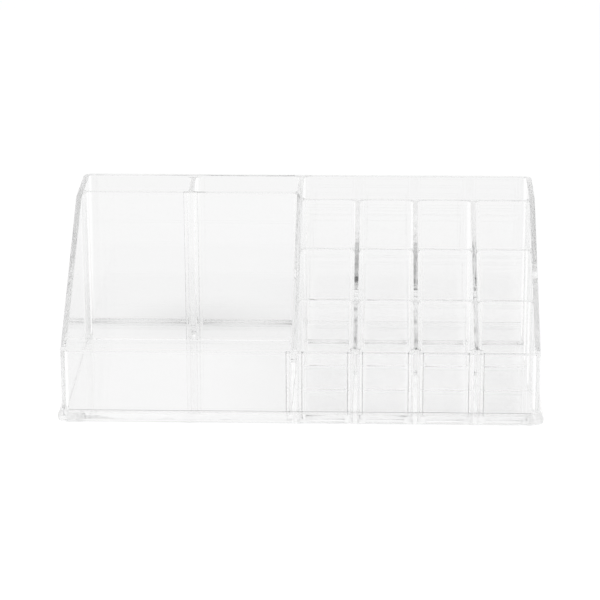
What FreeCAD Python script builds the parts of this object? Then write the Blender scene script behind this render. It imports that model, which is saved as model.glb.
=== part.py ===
"""Clear plastic vanity organizer, an assembly of bonded panels, in millimetres.

The origin is under the middle of the base: +X to the right, +Y to the back, +Z up.
The outer walls stand in the rim of the base plate. Every partition has a flared foot at each end,
bonded to the face that it meets, and a tongue below that sits in a groove in the floor.
"""

import FreeCAD, Part
import os
import Sketcher

LIPSTICK_COLUMNS = 4
LIPSTICK_ROWS = 3

# Driving dimensions: name, millimetres, what it measures
SIZES = [
    ("base_width", 220.0, "overall width, across the foot of the base"),
    ("base_depth", 125.0, "overall depth, across the foot of the base"),
    ("back_height", 79.0, "top of the back wall and of the level runs"),
    ("front_height", 33.0, "top of the front wall"),
    ("level_depth", 36.0, "level run of the side walls' top, from the outer back face"),
    ("tray_rear_height", 78.4, "top of the wall behind the tray"),
    ("lipstick_rear_height", 75.2, "top of the wall behind the lipstick cells"),
    ("wall_thickness", 2.4, "outer walls and centre divider"),
    ("partition_thickness", 2.0, "all other partitions"),
    ("corner_radius", 3.6, "outside radius of the upright corners"),
    ("bend_straight", 2.4, "straight end of the front and back walls after the bend"),
    ("lipstick_cell_width", 25.25, "clear width of one lipstick cell"),
    ("rear_pocket_depth", 23.0, "clear depth of the pockets along the back wall"),
    ("floor_thickness", 3.5, "base plate, from the underside to the floor"),
    ("rim_height", 5.0, "top of the rim around the outer walls"),
    ("rim_land", 0.5, "width of the rim's flat top"),
    ("rim_play", 0.1, "room between the rim and the outer walls"),
    ("foot_overhang", 2.0, "how far the base stands proud of the outer walls"),
    ("foot_edge", 1.5, "upright edge of the base, below its slope"),
    ("flare_reach", 2.2, "how far a flared end stands out from its partition"),
    ("flare_land", 0.2, "flat strip of the flared end beside its fillet"),
    ("flare_toe", 0.3, "thickness of the flared end at its tip"),
    ("tongue_depth", 0.8, "how deep a partition's tongue sits in the floor"),
    ("tongue_inset", 4.0, "from a partition's end to the start of its tongue"),
    ("tongue_play", 0.1, "room around a tongue in its groove"),
]

doc = FreeCAD.newDocument("vanity_organizer")
sheet = doc.addObject("Spreadsheet::Sheet", "sizes")
for row, (alias, millimetres, note) in enumerate(SIZES, start=1):
    sheet.set(f"A{row}", note)
    sheet.set(f"B{row}", str(millimetres))
    sheet.setAlias(f"B{row}", alias)
doc.recompute()

# Places worked out from the driving dimensions, as expressions
WALL_X = "(sizes.base_width / 2 - sizes.foot_overhang)"
WALL_Y = "(sizes.base_depth / 2 - sizes.foot_overhang)"
INNER_X = f"({WALL_X} - sizes.wall_thickness)"
INNER_Y = f"({WALL_Y} - sizes.wall_thickness)"
BEND_LEG = "(sizes.corner_radius + sizes.bend_straight)"
SLOPE_START_Y = f"(-{WALL_Y} + {BEND_LEG})"
SLOPE_END_Y = f"({WALL_Y} - sizes.level_depth)"
CELL_PITCH = "(sizes.lipstick_cell_width + sizes.partition_thickness)"
CENTRE_RIGHT_X = f"({INNER_X} - {LIPSTICK_COLUMNS} * {CELL_PITCH} + sizes.partition_thickness)"
CENTRE_LEFT_X = f"({CENTRE_RIGHT_X} - sizes.wall_thickness)"
CENTRE_X = f"({CENTRE_RIGHT_X} - sizes.wall_thickness / 2)"
REAR_WALL_BACK_Y = f"({INNER_Y} - sizes.rear_pocket_depth)"
REAR_WALL_FRONT_Y = f"({REAR_WALL_BACK_Y} - sizes.partition_thickness)"
REAR_WALL_Y = f"({REAR_WALL_BACK_Y} - sizes.partition_thickness / 2)"
ROW_PITCH = f"(({REAR_WALL_BACK_Y} + {INNER_Y}) / {LIPSTICK_ROWS})"
POCKET_DIVIDER_X = f"((-{INNER_X} + {CENTRE_LEFT_X}) / 2)"
LIPSTICK_SLOPE = (f"((sizes.lipstick_rear_height - sizes.front_height)"
                  f" / ({REAR_WALL_FRONT_Y} + {WALL_Y}))")
FLARE_RADIUS = "(sizes.flare_reach - sizes.flare_land)"

# Cutting shapes run this far past what they cut
CUT_MARGIN = "1"
SAME_PLACE = 0.001
UPRIGHT_AXIS = FreeCAD.Vector(0, 0, 1)
QUARTER_TURN = FreeCAD.Rotation(UPRIGHT_AXIS, 90)

sub_parts = []


def size_of(expression):
    """The value of an expression in millimetres."""
    return float(sheet.evalExpression(expression.replace("sizes.", "")))


def lipstick_top(y):
    """Height of the sloped plane that the lipstick partitions' tops lie in, at a depth y."""
    return f"(sizes.front_height + {LIPSTICK_SLOPE} * (({y}) + {WALL_Y}))"


def above_floor(height):
    return f"({height} - sizes.floor_thickness)"


def new_body(name, x, y, z, turned=False):
    """A sub-part whose own origin lies at x, y, z. A turned one has its X axis along +Y."""
    body = doc.addObject("PartDesign::Body", name)
    body.Label = name
    if turned:
        body.Placement.Rotation = QUARTER_TURN
    for axis, expression in zip("xyz", (x, y, z)):
        body.setExpression(f"Placement.Base.{axis}", expression)
    sub_parts.append(body)
    return body


def sketch_on(body, name, role, loops, lift="0"):
    """A sketch of closed outlines on one of the body's origin planes, each corner held by expressions."""
    sketch = body.newObject("Sketcher::SketchObject", f"{body.Name}_{name}")
    plane = next(item for item in body.Origin.OriginFeatures if item.Role == role)
    sketch.AttachmentSupport = [(plane, "")]
    sketch.MapMode = "FlatFace"
    sketch.setExpression("AttachmentOffset.Base.z", lift)
    for corners in loops:
        points = [FreeCAD.Vector(size_of(x), size_of(y), 0) for x, y in corners]
        lines = [sketch.addGeometry(Part.LineSegment(start, end))
                 for start, end in zip(points, points[1:] + points[:1])]
        for line, following in zip(lines, lines[1:] + lines[:1]):
            sketch.addConstraint(Sketcher.Constraint("Coincident", line, 2, following, 1))
        for line, corner, point in zip(lines, corners, points):
            for direction, expression, place in zip(("DistanceX", "DistanceY"), corner, point):
                held = sketch.addConstraint(Sketcher.Constraint(direction, -1, 1, line, 1, place))
                sketch.setExpression(f"Constraints[{held}]", expression)
    return sketch


def pad(body, sketch, length, downward=False):
    feature = body.newObject("PartDesign::Pad", f"{sketch.Name}_pad")
    feature.Profile = sketch
    feature.Reversed = downward
    feature.setExpression("Length", length)
    doc.recompute()
    return feature


def cut(body, sketch, depth=None):
    """Cuts down to a depth, or right through to both sides where none is given."""
    before = body.Shape.Volume
    feature = body.newObject("PartDesign::Pocket", f"{sketch.Name}_cut")
    feature.Profile = sketch
    if depth is None:
        feature.Type = "ThroughAll"
        feature.SideType = "Symmetric"
    else:
        feature.setExpression("Length", depth)
    doc.recompute()
    if body.Shape.Volume >= before:
        raise RuntimeError(f"{feature.Name} removed nothing")
    return feature


def round_uprights(body, name, radius, spots):
    """Fillets the upright edges of the body that stand at the given x, y spots."""
    base = body.Tip
    places = [FreeCAD.Vector(size_of(x), size_of(y), 0) for x, y in spots]
    picked = []
    for number, edge in enumerate(base.Shape.Edges, start=1):
        first, last = edge.Vertexes[0].Point, edge.Vertexes[-1].Point
        upright = (last - first).cross(UPRIGHT_AXIS).Length < SAME_PLACE and len(edge.Vertexes) == 2
        foot = FreeCAD.Vector(first.x, first.y, 0)
        if upright and any((foot - place).Length < SAME_PLACE for place in places):
            picked.append(f"Edge{number}")
    feature = body.newObject("PartDesign::Fillet", f"{body.Name}_{name}")
    feature.Base = (base, picked)
    feature.setExpression("Radius", radius)
    doc.recompute()
    return feature


def rectangle(x0, y0, x1, y1):
    return [(x0, y0), (x1, y0), (x1, y1), (x0, y1)]


def build_base(tongue_grooves):
    """The base plate: a proud foot with sloped sides, a rim for the outer walls and a grooved floor."""
    half_width, half_depth = "(sizes.base_width / 2)", "(sizes.base_depth / 2)"
    outline = rectangle(f"-{half_width}", f"-{half_depth}", half_width, half_depth)
    body = new_body("base_plate", "0", "0", "0")
    pad(body, sketch_on(body, "outline", "XY_Plane", [outline]), "sizes.rim_height")

    seat_x, seat_y = f"({WALL_X} + sizes.rim_play)", f"({WALL_Y} + sizes.rim_play)"
    seat = rectangle(f"-{seat_x}", f"-{seat_y}", seat_x, seat_y)
    cut(body, sketch_on(body, "seat", "XY_Plane", [seat], "sizes.rim_height"), above_floor("sizes.rim_height"))
    cut(body, sketch_on(body, "grooves", "XY_Plane", tongue_grooves, "sizes.floor_thickness"),
        "sizes.tongue_depth")
    round_uprights(body, "seat_corners", "sizes.corner_radius + sizes.rim_play", seat)
    round_uprights(body, "corners", "sizes.corner_radius + sizes.foot_overhang", outline)

    plate = body.Tip
    top, past_x, past_y = (size_of(place) + SAME_PLACE for place in ("sizes.rim_height", seat_x, seat_y))
    outer_top_edges = []
    for number, edge in enumerate(plate.Shape.Edges, start=1):
        corner = edge.Vertexes[0].Point
        on_outside = abs(corner.x) > past_x or abs(corner.y) > past_y
        if on_outside and edge.BoundBox.ZMin + 2 * SAME_PLACE > top:
            outer_top_edges.append(f"Edge{number}")
    slope = body.newObject("PartDesign::Chamfer", "base_plate_slope")
    slope.Base = (plate, outer_top_edges)
    slope.ChamferType = "Two distances"
    slope.setExpression("Size", "sizes.foot_overhang - sizes.rim_land - sizes.rim_play")
    slope.setExpression("Size2", "sizes.rim_height - sizes.foot_edge")
    doc.recompute()


def build_bent_wall(name, height, at_back):
    """The front or back wall: a flat panel whose two ends are bent round the corners."""
    side = 1 if at_back else -1
    body = new_body(name, "0", f"{side} * {WALL_Y}", "sizes.floor_thickness")
    leg, face = f"{-side} * {BEND_LEG}", f"{-side} * sizes.wall_thickness"
    outline = [(f"-{WALL_X}", leg), (f"-{WALL_X}", "0"), (WALL_X, "0"), (WALL_X, leg),
               (INNER_X, leg), (INNER_X, face), (f"-{INNER_X}", face), (f"-{INNER_X}", leg)]
    pad(body, sketch_on(body, "plan", "XY_Plane", [outline]), above_floor(height))
    round_uprights(body, "outer_bends", "sizes.corner_radius", [(f"-{WALL_X}", "0"), (WALL_X, "0")])
    round_uprights(body, "inner_bends", "sizes.corner_radius - sizes.wall_thickness",
                   [(f"-{INNER_X}", face), (INNER_X, face)])


def build_side_wall(name, inner_face_x, outward):
    """A side wall between the bent ends, sloped from the front wall's height up to a level run."""
    body = new_body(name, inner_face_x, SLOPE_START_Y, "sizes.floor_thickness", turned=True)
    length = f"(-2 * {SLOPE_START_Y})"
    slope_run = f"({SLOPE_END_Y} - {SLOPE_START_Y})"
    low, high = above_floor("sizes.front_height"), above_floor("sizes.back_height")
    profile = [("0", "0"), (length, "0"), (length, high), (slope_run, high), ("0", low)]
    pad(body, sketch_on(body, "profile", "XZ_Plane", [profile]), "sizes.wall_thickness", downward=outward < 0)


def build_partition(name, start, length, height, thickness="sizes.partition_thickness",
                    front_to_back=False, top_cut=None):
    """A partition with a flared foot at each end and a tongue below. Gives the outline of its groove.

    start is the middle of its left or front end, on the floor. top_cut names an upright origin plane and
    the outline of what is cut away above the partition's top.
    """
    body = new_body(name, start[0], start[1], "sizes.floor_thickness", turned=front_to_back)
    face, tip = f"({thickness} / 2)", f"({thickness} / 2 + sizes.flare_reach)"
    toe, far_toe = "sizes.flare_toe", f"({length} - sizes.flare_toe)"
    outline = [("0", f"-{tip}"), (toe, f"-{tip}"), (toe, f"-{face}"), (far_toe, f"-{face}"),
               (far_toe, f"-{tip}"), (length, f"-{tip}"), (length, tip), (far_toe, tip),
               (far_toe, face), (toe, face), (toe, tip), ("0", tip)]
    pad(body, sketch_on(body, "plan", "XY_Plane", [outline]), above_floor(height))
    round_uprights(body, "flares", FLARE_RADIUS,
                   [(x, y) for x in (toe, far_toe) for y in (face, f"-{face}")])
    if top_cut:
        role, region = top_cut
        cut(body, sketch_on(body, "top", role, [region]))

    near, far = "sizes.tongue_inset", f"({length} - sizes.tongue_inset)"
    tongue = rectangle(near, f"-{face}", far, face)
    pad(body, sketch_on(body, "tongue", "XY_Plane", [tongue]), "sizes.tongue_depth", downward=True)

    play = "sizes.tongue_play"
    along = (f"({near} - {play})", f"({far} + {play})")
    across = (f"-({face} + {play})", f"({face} + {play})")
    x_span, y_span = (across, along) if front_to_back else (along, across)
    return rectangle(f"{start[0]} + {x_span[0]}", f"{start[1]} + {y_span[0]}",
                     f"{start[0]} + {x_span[1]}", f"{start[1]} + {y_span[1]}")


def build_centre_divider():
    """Runs from the front wall to the back wall, with the side walls' sloped and level top."""
    slope_start, slope_end = f"({SLOPE_START_Y} + {INNER_Y})", f"({SLOPE_END_Y} + {INNER_Y})"
    low, high = above_floor("sizes.front_height"), above_floor("sizes.back_height")
    region = [(f"-{CUT_MARGIN}", low), (slope_start, low), (slope_end, high),
              (slope_end, f"{high} + {CUT_MARGIN}"), (f"-{CUT_MARGIN}", f"{high} + {CUT_MARGIN}")]
    return build_partition("centre_divider", (CENTRE_X, f"-{INNER_Y}"), f"(2 * {INNER_Y})", "sizes.back_height",
                           "sizes.wall_thickness", front_to_back=True, top_cut=("XZ_Plane", region))


def build_lipstick_divider(column):
    """Parts two columns of lipstick cells, from the front wall to the wall behind the cells."""
    x = f"({CENTRE_RIGHT_X} + {column} * {CELL_PITCH} - sizes.partition_thickness / 2)"
    length = f"({REAR_WALL_FRONT_Y} + {INNER_Y})"
    front_top = above_floor(lipstick_top(f"-{INNER_Y} - {CUT_MARGIN}"))
    rear_top = above_floor(lipstick_top(f"{REAR_WALL_FRONT_Y} + {CUT_MARGIN}"))
    far = f"({length} + {CUT_MARGIN})"
    region = [(f"-{CUT_MARGIN}", front_top), (far, rear_top), (far, f"{rear_top} + {CUT_MARGIN}"),
              (f"-{CUT_MARGIN}", f"{rear_top} + {CUT_MARGIN}")]
    return build_partition(f"lipstick_divider_{column}", (x, f"-{INNER_Y}"), length, "sizes.lipstick_rear_height",
                           front_to_back=True, top_cut=("XZ_Plane", region))


def build_cell_wall(name, row, column):
    """Parts one lipstick cell from the cell behind it.

    Its top is level, just below the dividers' sloped plane at its front face. The flares in front of that face
    are cut along the plane.
    """
    x = f"({CENTRE_RIGHT_X} + {column - 1} * {CELL_PITCH})"
    y = f"(-{INNER_Y} + {row} * {ROW_PITCH} - sizes.partition_thickness / 2)"
    top = lipstick_top(f"{y} - sizes.partition_thickness / 2 - sizes.flare_land")
    reach = f"(sizes.partition_thickness / 2 + sizes.flare_reach + {CUT_MARGIN})"
    front_top = above_floor(lipstick_top(f"{y} - {reach}"))
    rear_top = above_floor(lipstick_top(f"{y} + {reach}"))
    region = [(f"-{reach}", front_top), (reach, rear_top), (reach, f"{rear_top} + {CUT_MARGIN}"),
              (f"-{reach}", f"{rear_top} + {CUT_MARGIN}")]
    return build_partition(f"{name}_{column}", (x, y), "sizes.lipstick_cell_width", top,
                           top_cut=("YZ_Plane", region))


def build_partitions():
    """All partitions. Gives the outlines of the floor's grooves."""
    grooves = [
        build_centre_divider(),
        build_partition("tray_rear_wall", (f"-{INNER_X}", REAR_WALL_Y), f"({CENTRE_LEFT_X} + {INNER_X})",
                        "sizes.tray_rear_height"),
        build_partition("rear_pocket_divider", (POCKET_DIVIDER_X, REAR_WALL_BACK_Y), "sizes.rear_pocket_depth",
                        "sizes.tray_rear_height", front_to_back=True),
        build_partition("lipstick_rear_wall", (CENTRE_RIGHT_X, REAR_WALL_Y), f"({INNER_X} - {CENTRE_RIGHT_X})",
                        "sizes.lipstick_rear_height"),
    ]
    grooves += [build_lipstick_divider(column) for column in range(1, LIPSTICK_COLUMNS)]
    for row, name in enumerate(("lipstick_front_row_wall", "lipstick_middle_row_wall"), start=1):
        grooves += [build_cell_wall(name, row, column) for column in range(1, LIPSTICK_COLUMNS + 1)]
    return grooves


def check_and_export():
    """Stops on any failed object, then writes one STEP file for each sub-part."""
    doc.recompute()
    for item in doc.Objects:
        if {"Invalid", "Error"} & set(item.State):
            raise RuntimeError(f"{item.Name} failed: {item.State}")
    for body in sub_parts:
        if body.Shape.isNull() or not body.Shape.isValid() or len(body.Shape.Solids) != 1:
            raise RuntimeError(f"{body.Label} has no single valid solid")
    os.makedirs("parts", exist_ok=True)
    for body in sub_parts:
        body.Shape.exportStep(f"parts/{body.Label}.step")


build_base(build_partitions())
build_bent_wall("front_wall", "sizes.front_height", at_back=False)
build_bent_wall("back_wall", "sizes.back_height", at_back=True)
build_side_wall("left_side_wall", f"-{INNER_X}", outward=-1)
build_side_wall("right_side_wall", INNER_X, outward=1)
check_and_export()
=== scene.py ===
"""Clear plastic vanity organizer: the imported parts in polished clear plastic, on a white light table."""
import math

import bmesh
import bpy
from mathutils import Matrix, Vector

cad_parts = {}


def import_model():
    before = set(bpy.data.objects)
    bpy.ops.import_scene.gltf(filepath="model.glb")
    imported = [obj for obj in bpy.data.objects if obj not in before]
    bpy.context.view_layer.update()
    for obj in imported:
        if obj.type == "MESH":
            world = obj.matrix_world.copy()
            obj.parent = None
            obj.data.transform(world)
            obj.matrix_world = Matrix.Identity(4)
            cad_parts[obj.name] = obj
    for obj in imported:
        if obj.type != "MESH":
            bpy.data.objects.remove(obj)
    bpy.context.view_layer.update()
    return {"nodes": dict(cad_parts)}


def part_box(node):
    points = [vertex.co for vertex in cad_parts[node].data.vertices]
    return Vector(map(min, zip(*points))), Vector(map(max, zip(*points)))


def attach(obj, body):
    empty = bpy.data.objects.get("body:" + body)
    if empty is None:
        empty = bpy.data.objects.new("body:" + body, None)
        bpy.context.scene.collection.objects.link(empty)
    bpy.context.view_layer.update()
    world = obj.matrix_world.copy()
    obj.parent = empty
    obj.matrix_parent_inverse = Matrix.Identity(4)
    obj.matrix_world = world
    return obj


# Camera, worked out from the photograph's 600 x 600 frame
IMAGE_WIDTH_PX = 600
FOCAL_LENGTH_PX = 2742.6
SENSOR_WIDTH_MM = 36.0
CAMERA_TARGET = Vector((-0.00171, -0.0005, 0.03686))
CAMERA_DISTANCE = 1.2835
CAMERA_ELEVATION = math.radians(19.9)
CAMERA_YAW = math.radians(1.92)
CAMERA_ROLL = math.radians(-0.224)
CAMERA_REACH = 20.0

# Stage: the table glows, and a small light at the lens lifts it to pure white where nothing stands before it
WHITE = (1, 1, 1, 1)
BLACK = (0, 0, 0, 1)
FLOOR_HALF_WIDTH = 4.0
FLOOR_GAP = 0.0004
FLOOR_GLOW = 0.87
FLOOR_COLOUR = (0.05, 0.05, 0.05, 1)
LENS_LIGHT_ENERGY = 1.0
LENS_LIGHT_STRENGTH = 300.0
LENS_LIGHT_RADIUS = 0.005

# Soft patches painted into the table's glow, a painted shadow and a painted pool of light: name, centre,
# radii, and how much the glow changes
PAINTED_TABLE_LIGHT_AND_SHADE = [
    ("shadow behind the left pockets", (-0.052, 0.066, 0.0), (0.056, 0.052, 1.0), -0.11),
    ("light under the front cells", (0.052, -0.018, 0.0), (0.066, 0.046, 1.0), 0.06),
]

# Studio surround: an even level, with soft spots given as azimuth from +X and elevation in degrees,
# radius in degrees, and strength. A later spot lies over an earlier one.
STUDIO_LEVEL = 0.86
STUDIO_SPOTS = [
    ("bright wall behind", 90, 20, 35, 1.02),
    ("bright front", -90, 20, 32, 0.95),
    ("dark room above the lens", -88, 22.3, 4.2, 0.0),
]
SPOT_SOFTNESS_DEG = 1.5

# Clear plastic: scales are in features per metre, heights in metres, losses per metre of path.
# A noise range is where a noise, from 0 to 1, starts to show and where it shows in full.
REFRACTIVE_INDEX = 1.591
PLASTIC_LOSS = 0.3
WAVE_SCALE = 60.0
WAVE_HEIGHT = 0.000004
WAVE_DETAIL = 1
DIVIDER_WAVE_SCALE = 110.0
DIVIDER_WAVE_HEIGHT = 0.00005
REAR_WALL_WAVE_SCALE = 150.0
REAR_WALL_WAVE_HEIGHT = 0.000015
REAR_WALL_DRAFT = math.radians(0.65)
HAZE_SCALE = 45.0
HAZE_DETAIL = 2
HAZE_RANGE = (0.4, 0.65)
HAZE_COLOUR = 0.998
SMUDGE_SCALE = 35.0
SMUDGE_DETAIL = 4
SMUDGE_RANGE = (0.55, 0.75)
SMUDGE_ROUGHNESS = 0.01
NOISE_SEED = 0.0
LIGHT_BOUNCES = 256

# Panels, in metres
WALL_THICKNESS = 0.0024
PARTITION_THICKNESS = 0.002
RIM_TOP = 0.005
FOOT_OVERHANG = 0.002
CORNER_RADIUS = 0.0036
WELD_DISTANCE = 0.000002
BOND_OVERLAP = 0.00008
EDGE_ROUND = 0.00012
EDGE_ROUND_STEPS = 3
SHARP_EDGE_ANGLE = math.radians(40)

# Cement at the bonds: fillets have a hollow face, beads a round one
BACK_FILLET = 0.0019
CELL_FILLET = 0.0016
RIM_BEAD = 0.00015
POST_BEAD = 0.0003
REAR_POST_BEAD = 0.00018
CEMENT_STEPS = 8
FILLET_LOSS = 2.5
BEAD_LOSS = 110.0

# Directions in the frame
TO_LEFT = Vector((-1, 0, 0))
TO_RIGHT = Vector((1, 0, 0))
TO_FRONT = Vector((0, -1, 0))
TO_BACK = Vector((0, 1, 0))
UP = Vector((0, 0, 1))


def view_axes():
    """The camera's forward, right and up directions."""
    forward = Vector((
        -math.sin(CAMERA_YAW) * math.cos(CAMERA_ELEVATION),
        math.cos(CAMERA_YAW) * math.cos(CAMERA_ELEVATION),
        -math.sin(CAMERA_ELEVATION),
    ))
    right = forward.cross(UP).normalized()
    up = right.cross(forward)
    rolled_right = math.cos(CAMERA_ROLL) * right + math.sin(CAMERA_ROLL) * up
    rolled_up = math.cos(CAMERA_ROLL) * up - math.sin(CAMERA_ROLL) * right
    return forward, rolled_right, rolled_up


def add_camera():
    """Sets the camera at the photograph's viewing angle."""
    forward, right, up = view_axes()
    turn = Matrix((right, up, -forward)).transposed().to_4x4()
    place = Matrix.Translation(CAMERA_TARGET - CAMERA_DISTANCE * forward)
    data = bpy.data.cameras.new("camera")
    data.sensor_fit = "HORIZONTAL"
    data.sensor_width = SENSOR_WIDTH_MM
    data.lens = FOCAL_LENGTH_PX * SENSOR_WIDTH_MM / IMAGE_WIDTH_PX
    data.clip_end = CAMERA_REACH
    camera = bpy.data.objects.new("camera", data)
    camera.matrix_world = place @ turn
    bpy.context.scene.collection.objects.link(camera)
    bpy.context.scene.camera = camera


def add_lens_light():
    """A small light at the lens, so that its shadow lies behind the object."""
    forward = view_axes()[0]
    data = bpy.data.lights.new("lens_light", "POINT")
    data.energy = LENS_LIGHT_ENERGY
    data.shadow_soft_size = LENS_LIGHT_RADIUS
    data.use_nodes = True
    nodes = data.node_tree.nodes
    falloff = nodes.new("ShaderNodeLightFalloff")
    falloff.inputs["Strength"].default_value = LENS_LIGHT_STRENGTH
    data.node_tree.links.new(falloff.outputs["Constant"], nodes["Emission"].inputs["Strength"])
    light = bpy.data.objects.new("lens_light", data)
    light.location = CAMERA_TARGET - CAMERA_DISTANCE * forward
    light.visible_transmission = False
    light.visible_glossy = False
    bpy.context.scene.collection.objects.link(light)


def map_range(tree, value, from_values, to_values):
    """Maps one range of values smoothly to another, and stays within it."""
    node = tree.nodes.new("ShaderNodeMapRange")
    node.interpolation_type = "SMOOTHSTEP"
    node.inputs["From Min"].default_value, node.inputs["From Max"].default_value = from_values
    node.inputs["To Min"].default_value, node.inputs["To Max"].default_value = to_values
    tree.links.new(value, node.inputs["Value"])
    return node.outputs["Result"]


def vector_math(tree, operation, value, other=None):
    """A vector operation on a linked value, with a fixed second vector where the operation takes one."""
    node = tree.nodes.new("ShaderNodeVectorMath")
    node.operation = operation
    tree.links.new(value, node.inputs[0])
    if other is not None:
        node.inputs[1].default_value = other
    return node


def add_floor():
    """A plain white table that glows, as a light table does, with a painted shadow and a painted pool of
    light in its glow.
    """
    half = FLOOR_HALF_WIDTH
    corners = [(-half, -half, 0), (half, -half, 0), (half, half, 0), (-half, half, 0)]
    mesh = bpy.data.meshes.new("floor")
    mesh.from_pydata(corners, [], [(0, 1, 2, 3)])
    floor = bpy.data.objects.new("floor", mesh)
    floor.location.z = -FLOOR_GAP
    bpy.context.scene.collection.objects.link(floor)
    material = bpy.data.materials.new("white_table")
    material.use_nodes = True
    tree = material.node_tree
    shader = tree.nodes["Principled BSDF"]
    shader.inputs["Base Color"].default_value = FLOOR_COLOUR
    shader.inputs["Roughness"].default_value = 1.0
    shader.inputs["Specular IOR Level"].default_value = 0.0
    shader.inputs["Emission Color"].default_value = WHITE
    place = tree.nodes.new("ShaderNodeTexCoord").outputs["Object"]
    glow = None
    # Each patch paints shade or light into the glow: a painted shadow where it lowers the glow, a painted
    # pool of light where it raises it
    for name, centre, radii, change in PAINTED_TABLE_LIGHT_AND_SHADE:
        from_centre = vector_math(tree, "SUBTRACT", place, centre)
        from_centre.label = name
        in_radii = vector_math(tree, "DIVIDE", from_centre.outputs["Vector"], radii)
        distance = vector_math(tree, "LENGTH", in_radii.outputs["Vector"])
        total = tree.nodes.new("ShaderNodeMath")
        total.operation = "ADD"
        total.inputs[1].default_value = FLOOR_GLOW
        tree.links.new(map_range(tree, distance.outputs["Value"], (0, 1), (change, 0)), total.inputs[0])
        if glow is not None:
            tree.links.new(glow, total.inputs[1])
        glow = total.outputs["Value"]
    tree.links.new(glow, shader.inputs["Emission Strength"])
    mesh.materials.append(material)


def set_studio():
    """Lights the scene with an even surround that has a few soft spots."""
    world = bpy.data.worlds.new("studio")
    bpy.context.scene.world = world
    world.use_nodes = True
    tree = world.node_tree
    direction = tree.nodes.new("ShaderNodeTexCoord").outputs["Generated"]
    level = None
    for name, azimuth, elevation, radius, strength in STUDIO_SPOTS:
        azimuth, elevation = math.radians(azimuth), math.radians(elevation)
        towards = vector_math(tree, "DOT_PRODUCT", direction, (
            math.cos(elevation) * math.cos(azimuth),
            math.cos(elevation) * math.sin(azimuth),
            math.sin(elevation),
        ))
        towards.label = name
        rim = math.cos(math.radians(radius + SPOT_SOFTNESS_DEG))
        core = math.cos(math.radians(radius - SPOT_SOFTNESS_DEG))
        share = map_range(tree, towards.outputs["Value"], (rim, core), (0, 1))
        mix = tree.nodes.new("ShaderNodeMix")
        mix.inputs["A"].default_value = STUDIO_LEVEL
        mix.inputs["B"].default_value = strength
        tree.links.new(share, mix.inputs["Factor"])
        if level is not None:
            tree.links.new(level, mix.inputs["A"])
        level = mix.outputs["Result"]
    background = tree.nodes["Background"]
    background.inputs["Color"].default_value = WHITE
    tree.links.new(level, background.inputs["Strength"])


def noise(tree, place, scale, detail):
    """A cloudy noise from 0 to 1."""
    texture = tree.nodes.new("ShaderNodeTexNoise")
    texture.noise_dimensions = "4D"
    texture.inputs["W"].default_value = NOISE_SEED
    texture.inputs["Scale"].default_value = scale
    texture.inputs["Detail"].default_value = detail
    tree.links.new(place, texture.inputs["Vector"])
    return texture.outputs["Fac"]


def clear_plastic(name, wave_scale=WAVE_SCALE, wave_height=WAVE_HEIGHT, draft=0.0, path_loss=PLASTIC_LOSS):
    """Polished clear plastic with fine waves, a faint cloudy haze and light handling smudges.

    draft slopes the surface as a taper over its height would. path_loss is the light lost inside.
    """
    material = bpy.data.materials.new(name)
    material.use_nodes = True
    tree = material.node_tree
    shader = tree.nodes["Principled BSDF"]
    shader.inputs["IOR"].default_value = REFRACTIVE_INDEX
    shader.inputs["Transmission Weight"].default_value = 1.0
    place = tree.nodes.new("ShaderNodeTexCoord").outputs["Object"]

    haze = map_range(tree, noise(tree, place, HAZE_SCALE, HAZE_DETAIL), HAZE_RANGE, (1.0, HAZE_COLOUR))
    tree.links.new(haze, shader.inputs["Base Color"])
    smudges = noise(tree, place, SMUDGE_SCALE, SMUDGE_DETAIL)
    roughness = map_range(tree, smudges, SMUDGE_RANGE, (0.0, SMUDGE_ROUGHNESS))
    tree.links.new(roughness, shader.inputs["Roughness"])

    parts = tree.nodes.new("ShaderNodeSeparateXYZ")
    tree.links.new(place, parts.inputs["Vector"])
    taper = tree.nodes.new("ShaderNodeMath")
    taper.operation = "MULTIPLY"
    taper.inputs[1].default_value = math.tan(draft)
    tree.links.new(parts.outputs["Z"], taper.inputs[0])
    height = tree.nodes.new("ShaderNodeMath")
    height.operation = "MULTIPLY_ADD"
    height.inputs[1].default_value = wave_height
    tree.links.new(noise(tree, place, wave_scale, WAVE_DETAIL), height.inputs[0])
    tree.links.new(taper.outputs["Value"], height.inputs[2])
    bump = tree.nodes.new("ShaderNodeBump")
    bump.inputs["Distance"].default_value = 1.0
    tree.links.new(height.outputs["Value"], bump.inputs["Height"])
    tree.links.new(bump.outputs["Normal"], shader.inputs["Normal"])

    loss = tree.nodes.new("ShaderNodeVolumeAbsorption")
    loss.inputs["Color"].default_value = BLACK
    loss.inputs["Density"].default_value = path_loss
    tree.links.new(loss.outputs["Volume"], tree.nodes["Material Output"].inputs["Volume"])
    return material


def dress(node, material):
    """Polishes a panel: rounds its edges, and lets it run just into its neighbours, as bonded panels do."""
    node.material_slots[0].material = material
    weld = node.modifiers.new("weld", "WELD")
    weld.merge_threshold = WELD_DISTANCE
    bevel = node.modifiers.new("edge_round", "BEVEL")
    bevel.width = EDGE_ROUND
    bevel.segments = EDGE_ROUND_STEPS
    bevel.limit_method = "ANGLE"
    bevel.angle_limit = SHARP_EDGE_ANGLE
    bond = node.modifiers.new("bond", "DISPLACE")
    bond.strength = BOND_OVERLAP
    bond.mid_level = 0.0
    normals = node.modifiers.new("normals", "WEIGHTED_NORMAL")
    normals.keep_sharp = False


def cement_curve(radius, hollow):
    """The free face of a run of cement, as distances from the two faces that it joins."""
    curve = []
    for step in range(CEMENT_STEPS + 1):
        turn = step / CEMENT_STEPS * math.pi / 2
        if hollow:
            curve.append((radius * (1 - math.sin(turn)), radius * (1 - math.cos(turn))))
        else:
            curve.append((radius * math.cos(turn), radius * math.sin(turn)))
    return curve


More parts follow.
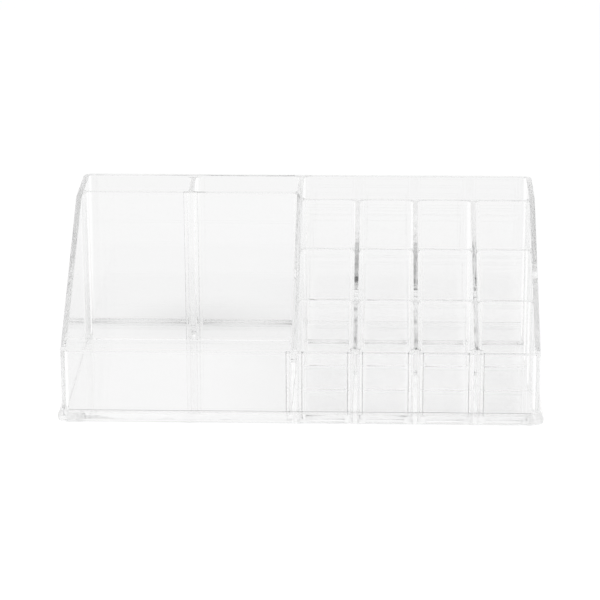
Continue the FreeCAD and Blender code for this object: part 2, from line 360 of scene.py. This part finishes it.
def lay_cement(mesh, radius, hollow, start, end, out, up):
    """Runs cement along a straight corner. out and up lead away from the two faces that it joins."""
    below = [(-BOND_OVERLAP, -BOND_OVERLAP), (radius, -BOND_OVERLAP)]
    outline = below + cement_curve(radius, hollow) + [(-BOND_OVERLAP, radius)]
    ends = []
    for corner in (start, end):
        ends.append([mesh.verts.new(Vector(corner) + out * u + up * v) for u, v in outline])
    first, last = ends
    for here in range(len(outline)):
        following = (here + 1) % len(outline)
        side = mesh.faces.new((first[here], first[following], last[following], last[here]))
        side.smooth = len(below) <= here < len(below) + CEMENT_STEPS
    mesh.faces.new(first[::-1])
    mesh.faces.new(last)


def add_cement(name, mesh, material):
    """Makes the laid cement an object that goes with the plastic."""
    bmesh.ops.recalc_face_normals(mesh, faces=mesh.faces)
    data = bpy.data.meshes.new(name)
    mesh.to_mesh(data)
    mesh.free()
    data.materials.append(material)
    cement = bpy.data.objects.new(name, data)
    bpy.context.scene.collection.objects.link(cement)
    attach(cement, "root")


def lipstick_dividers():
    """The names of the three dividers between the columns of cells."""
    return [f"lipstick_divider_{column}" for column in (1, 2, 3)]


def add_foot_fillets(material):
    """Fillets of cement along the foot of the back wall, and in front of the wall behind the cells."""
    back_low, back_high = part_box("back_wall")
    floor = back_low[2]
    back_face = back_high[1] - WALL_THICKNESS
    rear_low, rear_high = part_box("lipstick_rear_wall")
    cell_face = (rear_low[1] + rear_high[1] - PARTITION_THICKNESS) / 2
    pockets = ["left_side_wall", "rear_pocket_divider", "centre_divider"]
    cells = ["centre_divider", *lipstick_dividers(), "right_side_wall"]
    mesh = bmesh.new()
    for sides, face, radius in ((pockets, back_face, BACK_FILLET), (cells, cell_face, CELL_FILLET)):
        for left, right in zip(sides, sides[1:]):
            start = (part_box(left)[1][0], face, floor)
            end = (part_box(right)[0][0], face, floor)
            lay_cement(mesh, radius, True, start, end, TO_FRONT, UP)
    add_cement("foot_fillets", mesh, material)


def add_bond_beads(material):
    """Beads of cement on the rim at the front and back, and beside the front ends of five partitions."""
    base_low, base_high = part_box("base_plate")
    wall_low = [base_low[axis] + FOOT_OVERHANG for axis in (0, 1)]
    wall_high = [base_high[axis] - FOOT_OVERHANG for axis in (0, 1)]
    mesh = bmesh.new()
    for y, out in ((wall_low[1], TO_FRONT), (wall_high[1], TO_BACK)):
        start = (wall_low[0] + CORNER_RADIUS, y, RIM_TOP)
        end = (wall_high[0] - CORNER_RADIUS, y, RIM_TOP)
        lay_cement(mesh, RIM_BEAD, False, start, end, out, UP)

    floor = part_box("front_wall")[0][2]
    front_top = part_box("front_wall")[1][2]
    posts = [("rear_pocket_divider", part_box("rear_pocket_divider")[1][2], REAR_POST_BEAD)]
    posts += [(name, front_top, POST_BEAD) for name in ("centre_divider", *lipstick_dividers())]
    for name, top, radius in posts:
        low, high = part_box(name)
        for x, out in ((low[0], TO_LEFT), (high[0], TO_RIGHT)):
            lay_cement(mesh, radius, False, (x, low[1], floor), (x, low[1], top), out, TO_BACK)
    add_cement("bond_beads", mesh, material)


def set_light_paths():
    """Light goes through many faces of clear plastic, so its paths are long."""
    scene = bpy.context.scene
    scene.view_settings.view_transform = "Standard"
    scene.cycles.max_bounces = LIGHT_BOUNCES
    scene.cycles.transmission_bounces = LIGHT_BOUNCES
    scene.cycles.glossy_bounces = LIGHT_BOUNCES


def main():
    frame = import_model()
    add_camera()
    add_lens_light()
    add_floor()
    set_studio()
    set_light_paths()
    polished = clear_plastic("clear_plastic_polished")
    wavy = clear_plastic("clear_plastic_wavy", DIVIDER_WAVE_SCALE, DIVIDER_WAVE_HEIGHT)
    drafted = clear_plastic(
        "clear_plastic_drafted", REAR_WALL_WAVE_SCALE, REAR_WALL_WAVE_HEIGHT, REAR_WALL_DRAFT)
    for name, node in frame["nodes"].items():
        if name == "lipstick_rear_wall":
            dress(node, drafted)
        elif "divider" in name:
            dress(node, wavy)
        else:
            dress(node, polished)
    add_foot_fillets(clear_plastic("clear_plastic_fillet", path_loss=FILLET_LOSS))
    add_bond_beads(clear_plastic("clear_plastic_bead", path_loss=BEAD_LOSS))


main()
